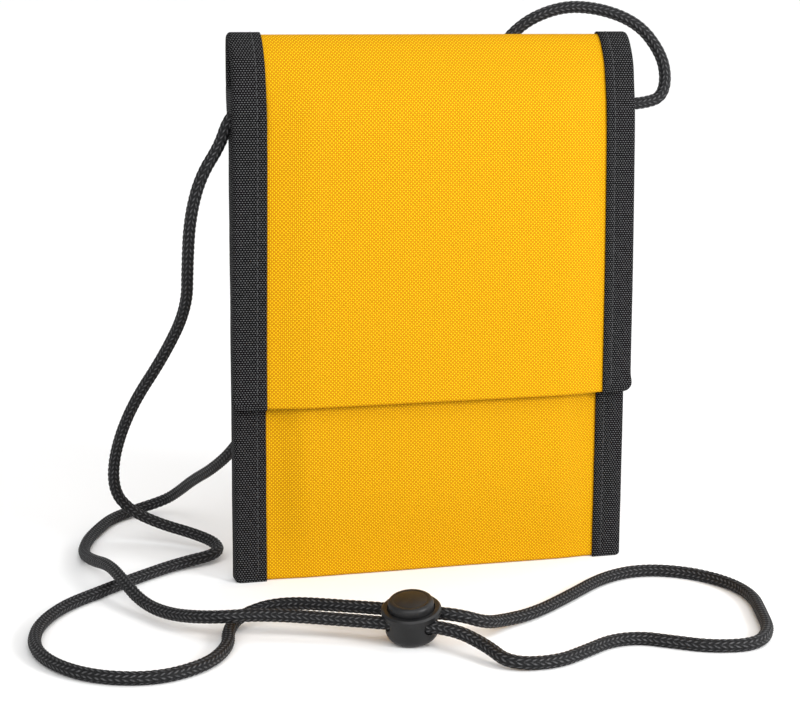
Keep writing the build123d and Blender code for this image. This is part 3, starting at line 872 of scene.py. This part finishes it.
# ---- neck cord ------------------------------------------------------------------------
# Millimetres, from the left seam round the floor and back up to the right seam.
CORD_ROUTE = [
    (-68.5, 2.2, 165.5), (-72.5, 2, 161.5), (-75.2, 2.5, 153), (-82, 4, 142), (-85, 8, 127.5),
    (-85, 14, 111), (-84, 22, 94.5), (-90.5, 33, 76), (-101, 44, 56), (-106.5, 52, 37),
    (-106.5, 58, 21.5), (-100.5, 59.5, 13), (-90, 55.5, 8), (-77.5, 46, 5.5), (-71.5, 35.5, 4.3),
    (-73.5, 25.5, 3.4), (-88, 21, 2.4), (-103, 10, 2.1), (-119, -4.5, 2.1), (-136, -20.5, 2.1),
    (-146.5, -43, 2.1), (-147.5, -67.5, 2.1), (-136, -89, 2.1), (-116.5, -97.5, 2.1),
    (-98.5, -89, 2.1), (-88.5, -73, 2.1), (-86, -58, 2.1), (-80, -48, 3.8), (-67, -49, 7.6),
    (-47.7, -64.35, 9.3), (-31, -73.45, 9.3), (-15.8, -82.05, 9.3), (-6.5, -81, 5.6), (2, -73, 3),
    (15, -66, 2.1), (33, -51, 2.1), (52, -33.5, 2.1), (68.5, -27.5, 2.1), (83.5, -34, 2.1),
    (93, -49, 2.1), (94.5, -66, 2.1), (88.5, -85.5, 2.1), (83, -102.5, 2.1), (73, -114, 2.1),
    (58.5, -112, 2.1), (48.5, -104.5, 2.1), (40, -98, 2.1), (29.5, -98.5, 2.1), (18.5, -106, 2.1),
    (6, -113.5, 2.1), (-9, -112.5, 2.6), (-12, -99.5, 4.4), (-20.1, -88.75, 7.3),
    (-35, -80.65, 7.3), (-51.6, -71.3, 7.3), (-75, -61.5, 8), (-91.5, -60, 7.6), (-102, -42, 3.8),
    (-109, -27, 4), (-113, -10, 7.4), (-115, 8.5, 7.4), (-118.5, 26, 4.2), (-120, 42.5, 2.1),
    (-116.5, 59.5, 2.1), (-110, 75.5, 2.1), (-103, 89.5, 2.1), (-91.5, 98, 2.8), (-81, 97, 6),
    (-77.5, 87, 11.5), (-75, 67, 21), (-72, 45, 30), (-68, 24, 41.5), (-59.5, 16, 57.5),
    (-42, 14.5, 83), (-20, 14.5, 114), (3, 14, 148), (20.5, 15, 173.5), (33, 15.5, 191.5),
    (49.5, 15.5, 199), (65, 15, 198.5), (79.5, 13, 193), (87, 9.5, 182.5), (88, 6.5, 173.5),
    (85, 4, 167), (78.5, 3, 165.4), (72, 2, 165), (68.5, 2, 165),
]


def cord_line():
    """Smooth centreline of the neck cord, read from a NURBS spline on its route."""
    curve = bpy.data.curves.new("cord_route", "CURVE")
    curve.dimensions = "3D"
    line = curve.splines.new("NURBS")
    line.points.add(len(CORD_ROUTE) - 1)
    for point, place in zip(line.points, CORD_ROUTE):
        point.co = (*(value * MM for value in place), 1)
    line.order_u = 3
    line.use_endpoint_u = True
    line.resolution_u = 24
    holder = link(bpy.data.objects.new("cord_route", curve))
    bpy.context.view_layer.update()
    mesh = bpy.data.meshes.new_from_object(holder)
    points = np.array([v.co for v in mesh.vertices])
    bpy.data.objects.remove(holder)
    bpy.data.meshes.remove(mesh)
    keep = np.concatenate([[True], np.linalg.norm(np.diff(points, axis=0), axis=1) > 1e-7])
    return points[keep]


def even(points, step):
    """The same line with its points an even step apart, and its length."""
    length = lengths(points)
    at = np.linspace(0, length[-1], int(length[-1] / step) + 1)
    return at_lengths(at, length, points), length[-1]


def side_directions(line):
    """A pair of directions square to the line, carried along it without twist."""
    tangent = unit(np.gradient(line, axis=0))
    side = np.zeros_like(line)
    side[0] = unit(np.cross(tangent[0], [0.0, 0.0, 1.0]))
    for k in range(1, len(line)):
        kept = side[k - 1] - tangent[k] * (side[k - 1] @ tangent[k])
        side[k] = kept / np.linalg.norm(kept)
    return side, np.cross(tangent, side)


def make_neck_cord():
    """Round braid of crossing plaits that pass over and under each other."""
    step, sides = ((0.3 * MM, 60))
    columns, plait_step = 10, 2.1 * MM
    line, length = even(cord_line(), step)
    side, up = side_directions(line)
    angle = np.arange(sides) * 2 * math.pi / sides
    travel = np.linspace(0, length, len(line))
    # u counts the columns round the cord and v the plaits along it
    u = np.tile(np.arange(sides) * columns / sides, (len(line), 1))
    lean = np.where(np.floor(u) % 2 == 0, 1.0, -1.0) * (u - np.floor(u) - 0.5)
    v = travel[:, None] / plait_step + lean * 0.95
    plait = np.abs(np.sin(math.pi * v)) ** 0.8 * (0.35 + 0.65 * np.abs(np.sin(math.pi * u)))
    radius = cord_d / 2 * (0.90 + 0.13 * plait)
    rings = (line[:, None] + side[:, None] * (np.cos(angle)[None, :, None] * radius[:, :, None])
             + up[:, None] * (np.sin(angle)[None, :, None] * radius[:, :, None]))
    cord = add_piece("neck_cord_braid", rings.reshape(-1, 3), tube_faces(len(line), sides),
                     np.stack([u.ravel(), v.ravel()], 1), "cord_braid")
    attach(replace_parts(cord, "neck_cord"), "pouch")
    make_spring()


def dress(piece, material):
    """Give a piece of the frame's own shape its finish."""
    piece.data.materials.clear()
    piece.data.materials.append(MATERIALS[material])


def make_spring():
    """Coil spring under the button, a steel-dressed copy of the frame's own spring."""
    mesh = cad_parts["lock_spring"].data.copy()
    spring = link(bpy.data.objects.new("lock_spring_coil", mesh))
    dress(spring, "spring_steel")
    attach(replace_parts(spring, "lock_spring"), "cord_lock")
    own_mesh(spring)
    return spring


def dress_lock():
    """Finishes of the cord lock's housing and button."""
    for node in ("lock_barrel", "lock_plunger"):
        dress(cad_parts[node], "lock_plastic")


# ---- floor and light ------------------------------------------------------------------
def make_floor():
    """Wide pale floor, flat to the horizon."""
    size = 60.0
    floor = bpy.data.meshes.new("studio_floor")
    floor.from_pydata([(-size, -size, 0), (size, -size, 0), (size, size, 0), (-size, size, 0)],
                      [], [(0, 1, 2, 3)])
    paper = bpy.data.materials.new("studio_paper")
    paper.use_nodes = True
    shader = paper.node_tree.nodes["Principled BSDF"]
    shader.inputs["Base Color"].default_value = (0.9, 0.9, 0.9, 1)
    shader.inputs["Roughness"].default_value = 0.9
    shader.inputs["Specular IOR Level"].default_value = 0.1
    floor.materials.append(paper)
    link(bpy.data.objects.new("studio_floor", floor))


def make_world():
    """White sky near the horizon that darkens to grey overhead."""
    world = bpy.data.worlds.new("studio")
    bpy.context.scene.world = world
    world.use_nodes = True
    tree = world.node_tree
    split = tree.nodes.new("ShaderNodeSeparateXYZ")
    place = tree.nodes.new("ShaderNodeTexCoord")
    ramp = tree.nodes.new("ShaderNodeValToRGB")
    tree.links.new(place.outputs["Generated"], split.inputs[0])
    tree.links.new(split.outputs[2], ramp.inputs[0])
    tree.links.new(ramp.outputs[0], tree.nodes["Background"].inputs[0])
    stops = ((0.04, 1.0), (0.45, 0.42))
    for element, (height, grey) in zip(ramp.color_ramp.elements, stops):
        element.position = height
        element.color = (grey, grey, grey, 1)
    tree.nodes["Background"].inputs[1].default_value = 1.05


def add_lamp(light, toward):
    """Lamp that shines along a direction."""
    lamp = link(bpy.data.objects.new(light.name, light))
    lamp.rotation_mode = "QUATERNION"
    lamp.rotation_quaternion = Vector(toward).to_track_quat("-Z", "Y")
    return lamp


def make_stage():
    """Floor, sky and three soft lamps; the glint makes highlights on the cord lock."""
    make_floor()
    make_world()
    for name, toward, strength, spread in (("key", (0.35, 0.9, -0.8), 1.9, 60),
                                           ("rim", (-0.8, -0.2, -0.9), 1.15, 70)):
        light = bpy.data.lights.new(name, "SUN")
        light.energy = strength
        light.angle = math.radians(spread)
        add_lamp(light, toward)
    glint = bpy.data.lights.new("glint", "AREA")
    glint.size = 0.22
    glint.energy = 4.5
    place, target = Vector((0.42, -0.62, 0.34)), Vector((-0.03, -0.08, 0))
    add_lamp(glint, target - place).location = place
    bpy.context.scene.view_settings.view_transform = "Standard"


make_camera()
make_stage()
make_neck_cord()
dress_lock()
make_walls()
make_inside()
make_body_bindings()
make_flap_cloth()
make_flap_tapes()
make_mouth_binding()
make_fastener("loop_strip", "pouch", "loop_pile", -1)
make_fastener("hook_strip", "flap", "hook_pile", 1)
make_cord_tacks()
